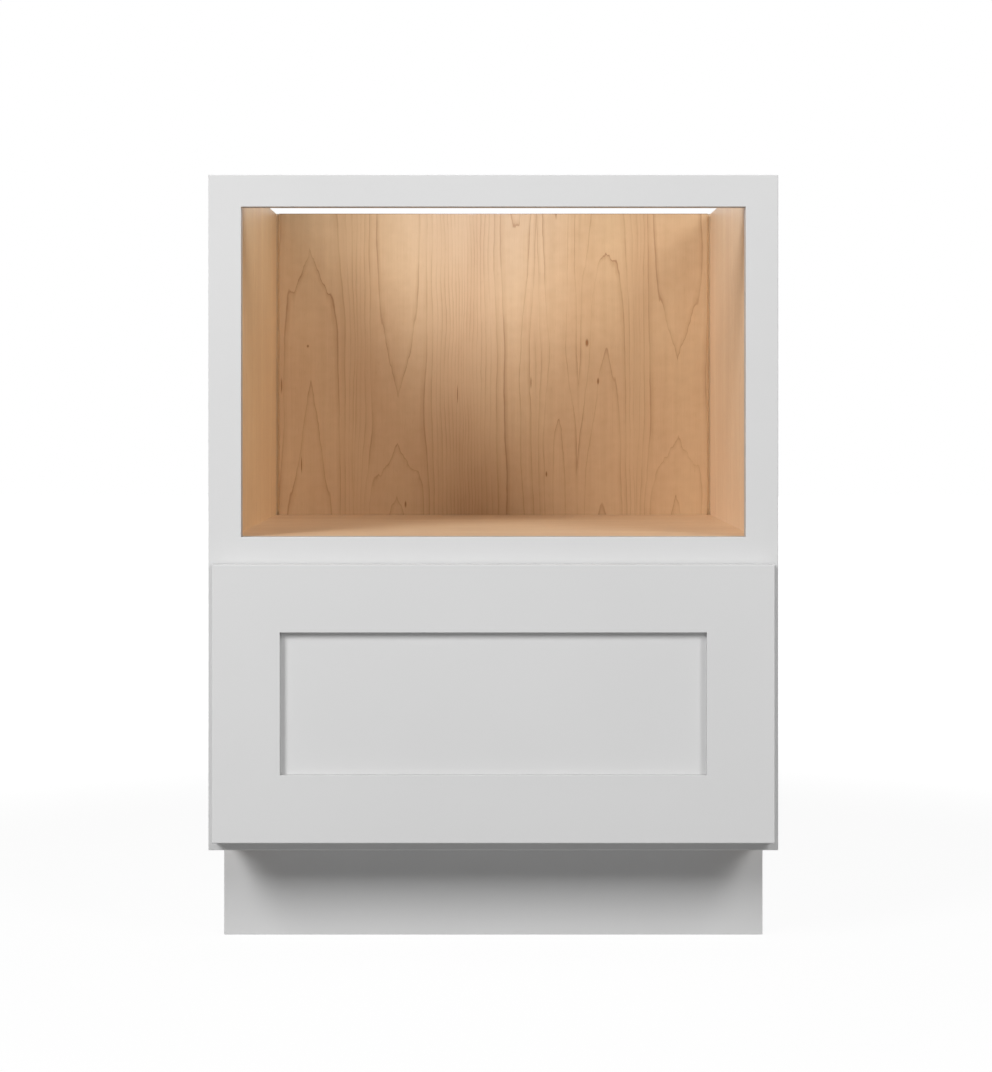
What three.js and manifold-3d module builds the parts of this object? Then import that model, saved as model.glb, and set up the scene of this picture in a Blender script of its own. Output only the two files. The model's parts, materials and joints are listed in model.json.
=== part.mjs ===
// Microwave base cabinet: a face-frame box with an open niche over one deep drawer.
// Millimetres, +Z up, the front faces -Y. "left" is the -X side, as seen from the front.
// While the pieces are made, x = 0 is the middle of the cabinet, y = 0 is the face frame's
// front and z = 0 is the floor. The group at the end moves them back by half the depth, so
// that the origin lies on the floor under the middle of the whole box.
import * as THREE from 'three';
import { mergeVertices } from 'three/addons/utils/BufferGeometryUtils.js';
import Module from 'manifold-3d';

const wasm = await Module();
wasm.setup();

// ---- Driving dimensions -------------------------------------------------------------

// The whole cabinet
const cabinetWidth = 643;
const cabinetHeight = 876.3;
const cabinetDepth = 609.6; // face frame's front to the wall
const fit = 0.3; // glue line and clearance round every housed joint

// Face frame of painted maple
const frameThickness = 19.05;
const frameOverhang = 8; // each stile stands this far out past its side panel
const stileWidth = 36.7;
const topRailHeight = 36;
const nicheHeight = 372.4; // top rail to middle rail
const middleRailHeight = 61;
const bottomRailHeight = 38.1;
const tenonLength = 12;
const tenonThickness = 6.4;
const tenonSetback = 4; // frame's front face to the tenon's cheek
const tenonShoulder = 7; // above and below each tenon
const frameGroove = 5; // depth of the stile's groove that takes the side panel

// Carcass panels of veneered plywood
const sideThickness = 19.05;
const shelfThickness = 19.05;
const shelfTongue = 12.7; // thickness of the shelf's ends in their dadoes
const deckThickness = 12.7;
const deckDrop = 13.7; // bottom rail's top edge down to the deck's upper face
const dadoDepth = 6;
const backThickness = 12.2;
const backTongue = 6.2; // thickness of the back panel's edge in its groove
const backGroove = 8; // depth of that groove
const backShadowGap = 4; // open line between the back panel's face and each side
const hangRailThickness = 18.8;
const hangRailHeight = 89;
const cornerBlockLeg = 95;
const cornerBlockThickness = 15;
const cornerBlockNose = 18; // width of the clipped ends
const cornerHoleRadius = 3;

// Toe kick
const toeKickHeight = 114.3;
const toeKickSetback = 92.3; // face frame's front to the toe board's front
const toeBoardThickness = 6.35;
const toeRailThickness = 12.7;

// Drawer front: a flat panel framed by four square-edged members
const frontThickness = 19.05;
const sideReveal = 6.05; // face frame left bare beside the drawer front
const bottomReveal = 11.4; // and below it
const topReveal = 29.9; // niche's lower edge down to the drawer front
const frontMember = 76.2; // width of its stiles and rails
const panelThickness = 6.4;
const panelRecess = 9; // members' front face back to the panel
const panelGroove = 10;
const panelPlay = 1.5; // room left for the panel in each groove

// Drawer box, dovetailed
const boxThickness = 16;
const boxTopGap = 37.5; // box's upper edge to the middle rail
const boxRearGap = 47.7; // box's back to the back panel
const boxSideGap = 5; // frame opening's edge to the box
const boxLift = 14; // bottom rail's top edge up to the box
const boxBottomThickness = 9.5;
const boxBottomRecess = 13; // box's lower edge up to its bottom panel
const boxGroove = 6;
const tailSpacing = 25.4; // about this much for each tail
const tailLength = 12; // half blind: shorter than the front board is thick
const tailWidth = 16; // at its wide end
const tailSlope = 0.16; // narrowing on each flank, per millimetre of length
const dovetailFit = 0.25;

// Runners under the box: three steel members a side, on rollers
const runnerRearGap = 26.25; // their rear ends to the back panel
const runnerGauge = 1.5;
const bendSteps = 4; // facets round the outside of each bend
const runnerFlange = 28; // height of the cabinet member's screwed flange
const runnerLip = 8; // returned lips that hold the middle member
const lipClearance = 2; // over the flanges that they hold
const channelWidth = 15.75; // middle member
const channelClearance = 1; // on both sides of it
const runnerPlay = 0.3; // rollers' play
const railClearance = 0.7; // middle member over the bottom rail
const rollerDiameter = 4.6;
const rollerLength = 9;
const rollerPitch = 32;
const rollerCount = 8;
const rollerSides = 10;
const cageThickness = 2;
const cageStart = 140; // behind the face frame's back
const hookWidth = 8; // tab at the rear of each drawer member
const hookInset = 8; // from the box's side
const hookRise = 15;
const hookPin = 4;
const hookPinReach = 8; // into the back board
const hookBoreClearance = 0.6;
const spacerHeight = 52;

// Soft-close unit and rear bracket of each runner
const damperLength = 160;
const damperWidth = 16;
const damperHeight = 13;
const damperSlot = 5;
const damperSlotInset = 24; // slot's rear end to the unit's
const damperSlotLength = 88;
const bracketWidth = 44;
const bracketPlate = 4;
const bracketHeight = 52;
const bracketArm = 16; // overlap under the runner's rear end
const bracketHoles = [8, 21]; // below the plate's upper edge

// Front locking device and its release lever
const lockWidth = 34;
const lockLength = 50;
const lockHeight = 12;
const lockWall = 3;
const lockRoof = 4.5;
const lockPinRadius = 3;
const leverThickness = 5.5;
const leverWidth = 7;
const leverHub = 6.5;
const leverPad = 11;

// Small parts
const bumperRadius = 4.75;
const bumperHeight = 2;
const bumperCrown = 3.3; // radius of its flat top
const bumperDome = 0.8; // height of the slope below it
const bumperRelief = 0.1; // bumper to the face frame when the drawer is shut
const bumperInset = 14; // drawer front's edges to a bumper's centre
const screwRadius = 2;
const screwTipRadius = 0.8;
const screwTipLength = 4;
const screwHeadRadius = 6;
const screwHeadHeight = 3;
const screwHeadRim = 1; // straight edge of its washer
const screwBite = 12; // into the drawer front
const screwInset = 45; // box's upper and lower edges to a screw
const roundSteps = 12;

// ---- Places worked out from them ----------------------------------------------------

const halfWidth = cabinetWidth / 2;
const openingHalf = halfWidth - stileWidth;
const sideOuter = halfWidth - frameOverhang;
const sideInner = sideOuter - sideThickness;

const nicheTop = cabinetHeight - topRailHeight;
const shelfTop = nicheTop - nicheHeight;
const shelfUnder = shelfTop - shelfThickness;
const drawerBayTop = shelfTop - middleRailHeight;
const drawerBayFloor = toeKickHeight + bottomRailHeight;
const deckTop = drawerBayFloor - deckDrop;
const deckUnder = deckTop - deckThickness;

const backRear = cabinetDepth - hangRailThickness;
const backFace = backRear - backThickness;
const tongueFace = backRear - backTongue;
const sideFront = frameThickness - frameGroove + fit;
const toeBoardBack = toeKickSetback + toeBoardThickness;

const frontBack = -(bumperHeight + bumperRelief);
const frontFace = frontBack - frontThickness;
const frontLow = toeKickHeight + bottomReveal;
const frontHigh = shelfTop - topReveal;
const frontHalf = halfWidth - sideReveal;
const panelHalf = frontHalf - frontMember;
const panelFace = frontFace + panelRecess;

const boxHalf = openingHalf - boxSideGap;
const boxInnerHalf = boxHalf - boxThickness;
const boxFront = frontBack;
const boxFrontInside = boxFront + boxThickness;
const boxRear = backFace - boxRearGap;
const boxLow = drawerBayFloor + boxLift;
const boxHigh = drawerBayTop - boxTopGap;
const boxPanelUnder = boxLow + boxBottomRecess;
const boxPanelTop = boxPanelUnder + boxBottomThickness;

const runnerFront = frameThickness + fit;
const runnerRear = backFace - runnerRearGap;
const middleUnder = drawerBayFloor + railClearance;
const runnerFloor = middleUnder - rollerDiameter - 2 * runnerPlay;
const runnerUnder = runnerFloor - runnerGauge;
const carrierRoof = boxPanelUnder - runnerGauge;
const middleTop = carrierRoof - rollerDiameter - 2 * runnerPlay;
const riserOffset = boxSideGap + boxThickness + fit; // offsets run inwards from the opening's edge
const stemOffset = riserOffset + runnerGauge + channelClearance;
const wallOffset = stemOffset + channelWidth + channelClearance;
const lockOffset = wallOffset + runnerGauge + fit;

const screwX = (panelHalf + panelGroove + boxInnerHalf) / 2;
const screwHeights = [boxLow + screwInset, boxHigh - screwInset];

// ---- Materials ----------------------------------------------------------------------

function finish(colour, roughness, metalness = 0) {
  return new THREE.MeshStandardMaterial({ color: colour, roughness, metalness });
}

const paint = finish(0xd9d9d9, 0.45);
const veneer = finish(0xd0a880, 0.5);
const plywood = finish(0xc9a67c, 0.7);
const mapleBoard = finish(0xdcbc92, 0.5);
const zincSteel = finish(0xb9bcc0, 0.35, 0.9);
const greyPlastic = finish(0x8b8e92, 0.5);
const leverPlastic = finish(0xc9733a, 0.45);
const clearRubber = finish(0xd6d8da, 0.35);

// ---- Solids -------------------------------------------------------------------------

// Keeps only position, shares the vertices and, where asked, turns the faces over.
function closed(geometry, turned = false) {
  geometry.deleteAttribute('normal');
  geometry.deleteAttribute('uv');
  const merged = mergeVertices(geometry);
  if (turned) {
    const { array } = merged.index;
    for (let i = 0; i < array.length; i += 3) {
      [array[i + 1], array[i + 2]] = [array[i + 2], array[i + 1]];
    }
  }
  return merged;
}

// A prism along one axis between low and high. The outline holds the other two axes in
// the order x, y, z, either as points or as a Shape.
function prism(axis, outline, low, high) {
  const points = outline.isShape ? null : outline.map(([a, b]) => new THREE.Vector2(a, b));
  const shape = points ? new THREE.Shape(points) : outline;
  const settings = { depth: 1, bevelEnabled: false, curveSegments: roundSteps };
  const geometry = new THREE.ExtrudeGeometry(shape, settings);
  const place = geometry.getAttribute('position');
  for (let i = 0; i < place.count; i += 1) {
    const a = place.getX(i);
    const b = place.getY(i);
    const along = place.getZ(i) > 0.5 ? high : low;
    const spot = { x: [along, a, b], y: [a, along, b], z: [a, b, along] }[axis];
    place.setXYZ(i, ...spot);
  }
  return closed(geometry, axis === 'y');
}

function sorted(a, b) {
  return a < b ? [a, b] : [b, a];
}

// A block from its limits along x, y and z, given in any order.
function block(x, y, z) {
  const [x0, x1] = sorted(...x);
  const [y0, y1] = sorted(...y);
  return prism('z', [[x0, y0], [x1, y0], [x1, y1], [x0, y1]], ...sorted(...z));
}

// A round bar along x or y from its centre line and its two ends.
function bar(axis, radius, centre, low, high, sides = roundSteps) {
  const geometry = new THREE.CylinderGeometry(radius, radius, high - low, sides);
  if (axis === 'x') geometry.rotateZ(Math.PI / 2);
  if (axis === 'z') geometry.rotateX(Math.PI / 2);
  const middle = (low + high) / 2;
  const spots = { x: [middle, ...centre], y: [centre[0], middle, centre[1]], z: [...centre, middle] };
  geometry.translate(...spots[axis]);
  return closed(geometry);
}

function toSolid(geometry) {
  const vertProperties = Float32Array.from(geometry.getAttribute('position').array);
  const triVerts = Uint32Array.from(geometry.index.array);
  return new wasm.Manifold(new wasm.Mesh({ numProp: 3, vertProperties, triVerts }));
}

function toGeometry(solid) {
  const mesh = solid.getMesh();
  const geometry = new THREE.BufferGeometry();
  geometry.setAttribute('position', new THREE.BufferAttribute(mesh.vertProperties, 3));
  geometry.setIndex(new THREE.BufferAttribute(mesh.triVerts, 1));
  return geometry;
}

function cut(body, tools) {
  return toGeometry(tools.reduce((solid, tool) => solid.subtract(toSolid(tool)), toSolid(body)));
}

function join(pieces) {
  return toGeometry(pieces.map(toSolid).reduce((whole, piece) => whole.add(piece)));
}

// The outline of a sheet of one gauge bent at right angles along a centre line. Each bend is
// sharp inside; outside it is an arc round that inner corner, as wide as the sheet is thick.
function bentSheet(line, gauge) {
  const points = line.map(([a, b]) => new THREE.Vector2(a, b));
  const last = points.length - 1;
  const along = points.slice(1).map((point, i) => point.clone().sub(points[i]).normalize());
  const across = along.map((step) => new THREE.Vector2(-step.y, step.x));
  const edge = (i, side) => {
    if (i === 0 || i === last) {
      const square = across[Math.min(i, last - 1)];
      return [points[i].clone().addScaledVector(square, (side * gauge) / 2)];
    }
    const [before, after] = [across[i - 1], across[i]];
    const mitre = before.clone().add(after);
    const outside = side * along[i - 1].cross(along[i]) < 0;
    if (!outside) return [points[i].clone().addScaledVector(mitre, (side * gauge) / 2)];
    const inner = points[i].clone().addScaledVector(mitre, (-side * gauge) / 2);
    return Array.from({ length: bendSteps + 1 }, (item, step) => {
      const turn = (Math.PI / 2) * (step / bendSteps);
      const spoke = before.clone().multiplyScalar(Math.cos(turn)).addScaledVector(after, Math.sin(turn));
      return inner.clone().addScaledVector(spoke, side * gauge);
    });
  };
  const upper = points.flatMap((point, i) => edge(i, 1));
  const lower = points.flatMap((point, i) => edge(i, -1));
  return [...upper, ...lower.reverse()].map((point) => point.toArray());
}

// ---- Assembly -----------------------------------------------------------------------

const cabinet = new THREE.Group();
const beyond = 1; // cutters pass this far through an open face

function place(name, geometry, material) {
  const mesh = new THREE.Mesh(geometry, material);
  mesh.name = name;
  cabinet.add(mesh);
}

const hands = [['left', -1], ['right', 1]];

// ---- Face frame ---------------------------------------------------------------------

const frameRails = {
  top: [nicheTop, cabinetHeight],
  middle: [drawerBayTop, shelfTop],
  bottom: [toeKickHeight, drawerBayFloor],
};

// Where a rail's tenon lies; grow is the clearance of the mortise that takes it.
function tenon(hand, [low, high], grow = 0) {
  const root = openingHalf - beyond;
  const end = openingHalf + tenonLength + grow;
  const depth = [tenonSetback - grow, tenonSetback + tenonThickness + grow];
  const height = [low + tenonShoulder - grow, high - tenonShoulder + grow];
  return block([hand * root, hand * end], depth, height);
}

function frameStile(hand) {
  const width = [hand * openingHalf, hand * halfWidth];
  const body = block(width, [0, frameThickness], [toeKickHeight, cabinetHeight]);
  const mortises = Object.values(frameRails).map((rail) => tenon(hand, rail, fit));
  const grooveWidth = [hand * (sideInner - fit), hand * (sideOuter + fit)];
  const grooveDepth = [frameThickness - frameGroove, frameThickness + beyond];
  const groove = block(grooveWidth, grooveDepth, [toeKickHeight - beyond, cabinetHeight + beyond]);
  return cut(body, [...mortises, groove]);
}

function frameRail(rail) {
  const body = block([-openingHalf, openingHalf], [0, frameThickness], rail);
  return join([body, tenon(-1, rail), tenon(1, rail)]);
}

hands.forEach(([name, hand]) => place(`${name}_stile`, frameStile(hand), paint));
Object.entries(frameRails).forEach(([name, rail]) => place(`${name}_rail`, frameRail(rail), paint));

// ---- Carcass ------------------------------------------------------------------------

function dado(hand, low, high) {
  const width = [hand * (sideInner - beyond), hand * (sideInner + dadoDepth)];
  return block(width, [sideFront - beyond, backFace], [low - fit, high + fit]);
}

function sidePanel(hand) {
  const outline = [
    [toeBoardBack, 0],
    [cabinetDepth, 0],
    [cabinetDepth, cabinetHeight],
    [sideFront, cabinetHeight],
    [sideFront, toeKickHeight],
    [toeBoardBack, toeKickHeight],
  ];
  const body = prism('x', outline, ...sorted(hand * sideInner, hand * sideOuter));
  const grooveWidth = [hand * (sideInner - beyond), hand * (sideInner + backGroove)];
  const grooveDepth = [tongueFace - fit, backRear + fit];
  const groove = block(grooveWidth, grooveDepth, [toeKickHeight - fit, cabinetHeight + beyond]);
  const dadoes = [dado(hand, shelfUnder, shelfUnder + shelfTongue), dado(hand, deckUnder, deckTop)];
  return cut(body, [...dadoes, groove]);
}

// The back panel's face stops short of the sides; its thinner rear half runs into their grooves.
function backPanel() {
  const face = sideInner - backShadowGap;
  const tongue = sideInner + backGroove - fit;
  const outline = [
    [-face, backFace], [face, backFace], [face, tongueFace], [tongue, tongueFace],
    [tongue, backRear], [-tongue, backRear], [-tongue, tongueFace], [-face, tongueFace],
  ];
  return prism('z', outline, toeKickHeight, cabinetHeight);
}

// A level panel between the sides; its tongues, flush with its underside, run into their dadoes.
function housedPanel(low, high, tongue) {
  const reach = sideInner + dadoDepth - fit;
  const depth = [frameThickness, backFace - fit];
  const body = block([-sideInner, sideInner], depth, [low, high]);
  return join([body, block([-reach, reach], depth, [low, low + tongue])]);
}

function hangRail(low) {
  return block([-sideInner, sideInner], [backRear, cabinetDepth], [low, low + hangRailHeight]);
}

// A triangular block in each front corner, with a hole for a worktop screw.
function cornerBlock(hand) {
  const wall = hand * sideInner;
  const tip = hand * (sideInner - cornerBlockLeg);
  const nose = hand * (sideInner - cornerBlockNose);
  const deep = frameThickness + cornerBlockLeg;
  const outline = [
    [wall, frameThickness], [tip, frameThickness], [tip, frameThickness + cornerBlockNose],
    [nose, deep], [wall, deep],
  ];
  const body = prism('z', outline, cabinetHeight - cornerBlockThickness, cabinetHeight);
  const holeX = hand * (sideInner - cornerBlockLeg / 3);
  const holeY = frameThickness + cornerBlockLeg / 3;
  const reach = [cabinetHeight - cornerBlockThickness - beyond, cabinetHeight + beyond];
  return cut(body, [bar('z', cornerHoleRadius, [holeX, holeY], ...reach)]);
}

const hangRails = {
  top: cabinetHeight - hangRailHeight,
  middle: (shelfTop + shelfUnder - hangRailHeight) / 2,
  bottom: toeKickHeight,
};

hands.forEach(([name, hand]) => {
  place(`${name}_side_panel`, sidePanel(hand), veneer);
  place(`${name}_corner_block`, cornerBlock(hand), plywood);
});
place('back_panel', backPanel(), veneer);
place('microwave_shelf', housedPanel(shelfUnder, shelfTop, shelfTongue), veneer);
place('bottom_panel', housedPanel(deckUnder, deckTop, deckThickness), veneer);
Object.entries(hangRails).forEach(([name, low]) => place(`${name}_hang_rail`, hangRail(low), plywood));

const toeBoard = block([-sideOuter, sideOuter], [toeKickSetback, toeBoardBack], [0, toeKickHeight]);
const toeRailBack = toeBoardBack + toeRailThickness;
const toeRail = block([-sideInner, sideInner], [toeBoardBack, toeRailBack], [0, deckUnder]);
place('toe_kick_board', toeBoard, paint);
place('toe_kick_rail', toeRail, plywood);

// ---- Drawer front -------------------------------------------------------------------

const grooveNear = panelFace - dovetailFit;
const grooveFar = panelFace + panelThickness + dovetailFit;

function screwHole(hand, height, radius) {
  return bar('y', radius, [hand * screwX, height], frontBack - screwBite - fit, boxFrontInside + beyond);
}

const screwHoles = (hand) => screwHeights.map((height) => screwHole(hand, height, screwRadius + fit));

// A member's section: a rectangle whose inner edge carries the groove for the panel.
function frontStile(hand) {
  const inner = hand * panelHalf;
  const outer = hand * frontHalf;
  const grooveFloor = hand * (panelHalf + panelGroove);
  const outline = [
    [outer, frontFace], [outer, frontBack], [inner, frontBack], [inner, grooveFar],
    [grooveFloor, grooveFar], [grooveFloor, grooveNear], [inner, grooveNear], [inner, frontFace],
  ];
  return cut(prism('z', outline, frontLow, frontHigh), screwHoles(hand));
}

// edge is the member's outer edge, towards is +1 when the panel lies above it.
function frontRail(edge, towards) {
  const inner = edge + towards * frontMember;
  const grooveFloor = inner - towards * panelGroove;
  const outline = [
    [frontFace, edge], [frontBack, edge], [frontBack, inner], [grooveFar, inner],
    [grooveFar, grooveFloor], [grooveNear, grooveFloor], [grooveNear, inner], [frontFace, inner],
  ];
  const body = prism('x', outline, -panelHalf, panelHalf);
  const tongueDepth = [panelFace, panelFace + panelThickness];
  const tongues = [-1, 1].map((hand) => {
    const width = [hand * (panelHalf - beyond), hand * (panelHalf + panelGroove - fit)];
    return block(width, tongueDepth, [edge, grooveFloor]);
  });
  return join([body, ...tongues]);
}

function frontPanel() {
  const reach = panelHalf + panelGroove - panelPlay;
  const low = frontLow + frontMember - panelGroove + panelPlay;
  const high = frontHigh - frontMember + panelGroove - panelPlay;
  return block([-reach, reach], [panelFace, panelFace + panelThickness], [low, high]);
}

hands.forEach(([name, hand]) => place(`drawer_front_${name}_stile`, frontStile(hand), paint));
place('drawer_front_top_rail', frontRail(frontHigh, -1), paint);
place('drawer_front_bottom_rail', frontRail(frontLow, 1), paint);
place('drawer_front_panel', frontPanel(), paint);

// ---- Drawer box ---------------------------------------------------------------------

const tailCount = Math.round((boxHigh - boxLow) / tailSpacing);
const tailPitch = (boxHigh - boxLow) / tailCount;

// A tail seen from the side: it starts at root, widens along its length and ends square.
// grow moves its flanks and its end outwards, for the socket that takes it.
function tailOutline(index, root, direction, grow = 0) {
  const centre = boxLow + tailPitch * (index + 0.5);
  const wide = tailWidth / 2 + grow;
  const narrow = wide - tailSlope * tailLength;
  const end = root + direction * (tailLength + grow);
  return [[root, centre - narrow], [end, centre - wide], [end, centre + wide], [root, centre + narrow]];
}

const tailIndexes = Array.from({ length: tailCount }, (item, index) => index);
const rearRoot = boxRear - boxThickness;

// The ploughed groove for the bottom panel, on the inner face of a side board.
function sideGroove(hand) {
  const width = [hand * (boxInnerHalf - beyond), hand * (boxInnerHalf + boxGroove + dovetailFit)];
  const height = [boxPanelUnder - dovetailFit, boxPanelTop + dovetailFit];
  return block(width, [boxFront - beyond, boxRear + beyond], height);
}

function boxSide(hand) {
  const rearTails = tailIndexes.flatMap((index) => tailOutline(index, rearRoot, 1));
  const frontTails = [...tailIndexes].reverse()
    .flatMap((index) => tailOutline(index, boxFrontInside, -1).reverse());
  const outline = [
    [boxFrontInside, boxLow], [rearRoot, boxLow], ...rearTails,
    [rearRoot, boxHigh], [boxFrontInside, boxHigh], ...frontTails,
  ];
  const body = prism('x', outline, ...sorted(hand * boxInnerHalf, hand * boxHalf));
  return cut(body, [sideGroove(hand)]);
}

// Half-blind sockets at both ends of the front or back board.
function sockets(root, direction) {
  return hands.flatMap(([, hand]) => {
    const reach = sorted(hand * (boxInnerHalf - dovetailFit), hand * (boxHalf + beyond));
    return tailIndexes.map((index) => {
      const outline = tailOutline(index, root, direction, dovetailFit);
      const mouth = root - direction * beyond;
      return prism('x', [[mouth, outline[0][1]], ...outline, [mouth, outline[3][1]]], ...reach);
    });
  });
}

function boardGroove(near, far) {
  const reach = boxInnerHalf + boxGroove + dovetailFit;
  return block([-reach, reach], [near, far], [boxPanelUnder - dovetailFit, boxPanelTop + dovetailFit]);
}

function boxFrontBoard() {
  const body = block([-boxHalf, boxHalf], [boxFront, boxFrontInside], [boxLow, boxHigh]);
  const groove = boardGroove(boxFrontInside - boxGroove - dovetailFit, boxFrontInside + beyond);
  const holes = hands.flatMap(([, hand]) => screwHoles(hand));
  return cut(body, [...sockets(boxFrontInside, -1), groove, ...holes]);
}

// The back board is notched over each runner and bored for the runner's hook.
function boxBackBoard() {
  const body = block([-boxHalf, boxHalf], [rearRoot, boxRear], [boxLow, boxHigh]);
  const groove = boardGroove(rearRoot - beyond, rearRoot + boxGroove + dovetailFit);
  const runnerCuts = hands.flatMap(([, hand]) => {
    const width = [hand * boxInnerHalf, hand * (openingHalf - lockOffset)];
    const notch = block(width, [rearRoot - beyond, boxRear + beyond], [boxLow - beyond, boxPanelUnder]);
    const boreRadius = hookPin / 2 + hookBoreClearance;
    const bore = bar('y', boreRadius, hookCentre(hand), boxRear - hookPinReach - fit, boxRear + beyond);
    return [notch, bore];
  });
  return cut(body, [...sockets(rearRoot, 1), groove, ...runnerCuts]);
}

function hookCentre(hand) {
  return [hand * (boxInnerHalf - hookInset), boxPanelUnder + hookRise - hookPin / 2];
}

function boxBottom() {
  const reach = boxInnerHalf + boxGroove;
  const depth = [boxFrontInside - boxGroove, rearRoot + boxGroove];
  return block([-reach, reach], depth, [boxPanelUnder, boxPanelTop]);
}

place('drawer_box_front', boxFrontBoard(), mapleBoard);
place('drawer_box_back', boxBackBoard(), mapleBoard);
hands.forEach(([name, hand]) => place(`drawer_box_${name}_side`, boxSide(hand), mapleBoard));
place('drawer_box_bottom', boxBottom(), mapleBoard);

// ---- Runners ------------------------------------------------------------------------

// Runner sections are drawn as (offset, height): offset runs inwards from the opening's edge.
function runnerSection(hand, line) {
  return bentSheet(line, runnerGauge).map(([offset, height]) => [hand * (openingHalf - offset), height]);
}

const halfGauge = runnerGauge / 2;

// The fixed member: a flange on the spacer, a floor under the rollers and a returned inner lip.
function cabinetMember(hand) {
  const wall = wallOffset + halfGauge;
  const lip = middleUnder + runnerGauge + lipClearance + halfGauge;
  const line = [
    [halfGauge, runnerUnder + runnerFlange],
    [halfGauge, runnerUnder + halfGauge],
    [wall, runnerUnder + halfGauge],
    [wall, lip],
    [wall - runnerLip, lip],
  ];
  return prism('y', runnerSection(hand, line), runnerFront, runnerRear);
}

// The middle member: a channel open towards the cabinet's middle.
function middleMember(hand) {
  const stem = stemOffset + halfGauge;
  const edge = stemOffset + channelWidth;
  const line = [
    [edge, middleTop - halfGauge],
    [stem, middleTop - halfGauge],
    [stem, middleUnder + halfGauge],
    [edge, middleUnder + halfGauge],
  ];
  return prism('y', runnerSection(hand, line), runnerFront, runnerRear - bracketArm);
}

// The drawer member: a ledge under the box's side, a raised back under its bottom panel,
// and at the rear a tab whose pin stands in the back board.
function drawerMember(hand) {
  const riser = riserOffset + halfGauge;
  const wall = wallOffset + halfGauge;
  const lip = middleTop - runnerGauge - lipClearance - halfGauge;
  const line = [
    [boxSideGap + fit, boxLow - halfGauge],
    [riser, boxLow - halfGauge],
    [riser, boxPanelUnder - halfGauge],
    [wall, boxPanelUnder - halfGauge],
    [wall, lip],
    [wall - runnerLip, lip],
  ];
  const tabFront = boxRear + fit;
  const tabRear = tabFront + runnerGauge;
  const body = prism('y', runnerSection(hand, line), boxFrontInside + fit, tabRear);
  const [hookX, hookZ] = hookCentre(hand);
  const width = [hookX - hookWidth / 2, hookX + hookWidth / 2];
  const tab = block(width, [tabFront, tabRear], [boxPanelUnder - halfGauge, boxPanelUnder + hookRise]);
  const pin = bar('y', hookPin / 2, [hookX, hookZ], boxRear - hookPinReach, tabRear - halfGauge);
  return join([body, tab, pin]);
}

// A flat cage with its rollers in it, between two members.
function rollerCage(hand, low) {
  const near = stemOffset + runnerGauge + channelClearance;
  const far = stemOffset + channelWidth - channelClearance;
  const centre = low + runnerPlay + rollerDiameter / 2;
  const strip = block(
    [hand * (openingHalf - near), hand * (openingHalf - far)],
    [cageFront, cageRear],
    [centre - cageThickness / 2, centre + cageThickness / 2],
  );
  const middle = hand * (openingHalf - (near + far) / 2);
  const ends = [middle - rollerLength / 2, middle + rollerLength / 2];
  const rollers = Array.from({ length: rollerCount }, (item, index) => {
    const y = cageFront + rollerPitch * (index + 0.5);
    return bar('x', rollerDiameter / 2, [y, centre], ...ends, rollerSides);
  });
  return join([strip, ...rollers]);
}

const cageFront = frameThickness + cageStart;
const cageRear = cageFront + rollerPitch * rollerCount;

// A hardwood strip that brings the runner out to the frame's edge.
function runnerSpacer(hand) {
  const width = [hand * openingHalf, hand * sideInner];
  return block(width, [frameThickness, runnerRear], [deckTop, deckTop + spacerHeight]);
}

// The soft-close unit stands on the fixed member; its catch runs in the slot.
function damper(hand) {
  const near = (stemOffset + runnerGauge - damperWidth) / 2;
  const rear = runnerRear - bracketArm;
  const top = runnerFloor + damperHeight;
  const slope = damperHeight / 2;
  const outline = [
    [rear - damperLength, runnerFloor], [rear, runnerFloor], [rear, top],
    [rear - damperLength + slope, top], [rear - damperLength, top - slope],
  ];
  const width = sorted(hand * (openingHalf - near), hand * (openingHalf - near - damperWidth));
  const middle = (width[0] + width[1]) / 2;
  const slotRear = rear - damperSlotInset;
  const slot = block(
    [middle - damperSlot / 2, middle + damperSlot / 2],
    [slotRear - damperSlotLength, slotRear],
    [top - damperSlot, top + beyond],
  );
  return cut(prism('x', outline, ...width), [slot]);
}

// A plastic bracket on the back panel, whose arm carries the fixed member's rear end.
function rearBracket(hand) {
  const plate = backFace - bracketPlate;
  const nose = runnerRear - bracketArm;
  const foot = deckTop + fit;
  const outline = [
    [backFace, foot], [backFace, foot + bracketHeight], [plate, foot + bracketHeight],
    [plate, runnerUnder], [nose, runnerUnder], [nose, (runnerUnder + foot) / 2], [plate, foot],
  ];
  const width = sorted(hand * openingHalf, hand * (openingHalf - bracketWidth));
  const middle = (width[0] + width[1]) / 2;
  const holes = bracketHoles.map((drop) => {
    const centre = [middle, foot + bracketHeight - drop];
    return bar('y', screwRadius, centre, plate - beyond, backFace + beyond);
  });
  return cut(prism('x', outline, ...width), holes);
}

hands.forEach(([name, hand]) => {
  place(`${name}_runner_spacer`, runnerSpacer(hand), mapleBoard);
  place(`${name}_runner_cabinet_member`, cabinetMember(hand), zincSteel);
  place(`${name}_runner_middle_member`, middleMember(hand), zincSteel);
  place(`${name}_runner_drawer_member`, drawerMember(hand), zincSteel);
  place(`${name}_lower_roller_cage`, rollerCage(hand, runnerFloor), greyPlastic);
  place(`${name}_upper_roller_cage`, rollerCage(hand, middleTop), greyPlastic);
  place(`${name}_soft_close_unit`, damper(hand), greyPlastic);
  place(`${name}_rear_bracket`, rearBracket(hand), greyPlastic);
});

// ---- Locking devices and release levers ---------------------------------------------

const lockFront = boxFrontInside + fit;
const lockRear = lockFront + lockLength;
const lockUnder = boxPanelUnder - lockHeight;
const leverTop = boxPanelUnder - lockRoof - fit;
const leverPivotY = lockRear - lockWall - leverHub - fit;

function lockCentre(hand) {
  return hand * (openingHalf - lockOffset - lockWidth / 2);
}

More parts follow.
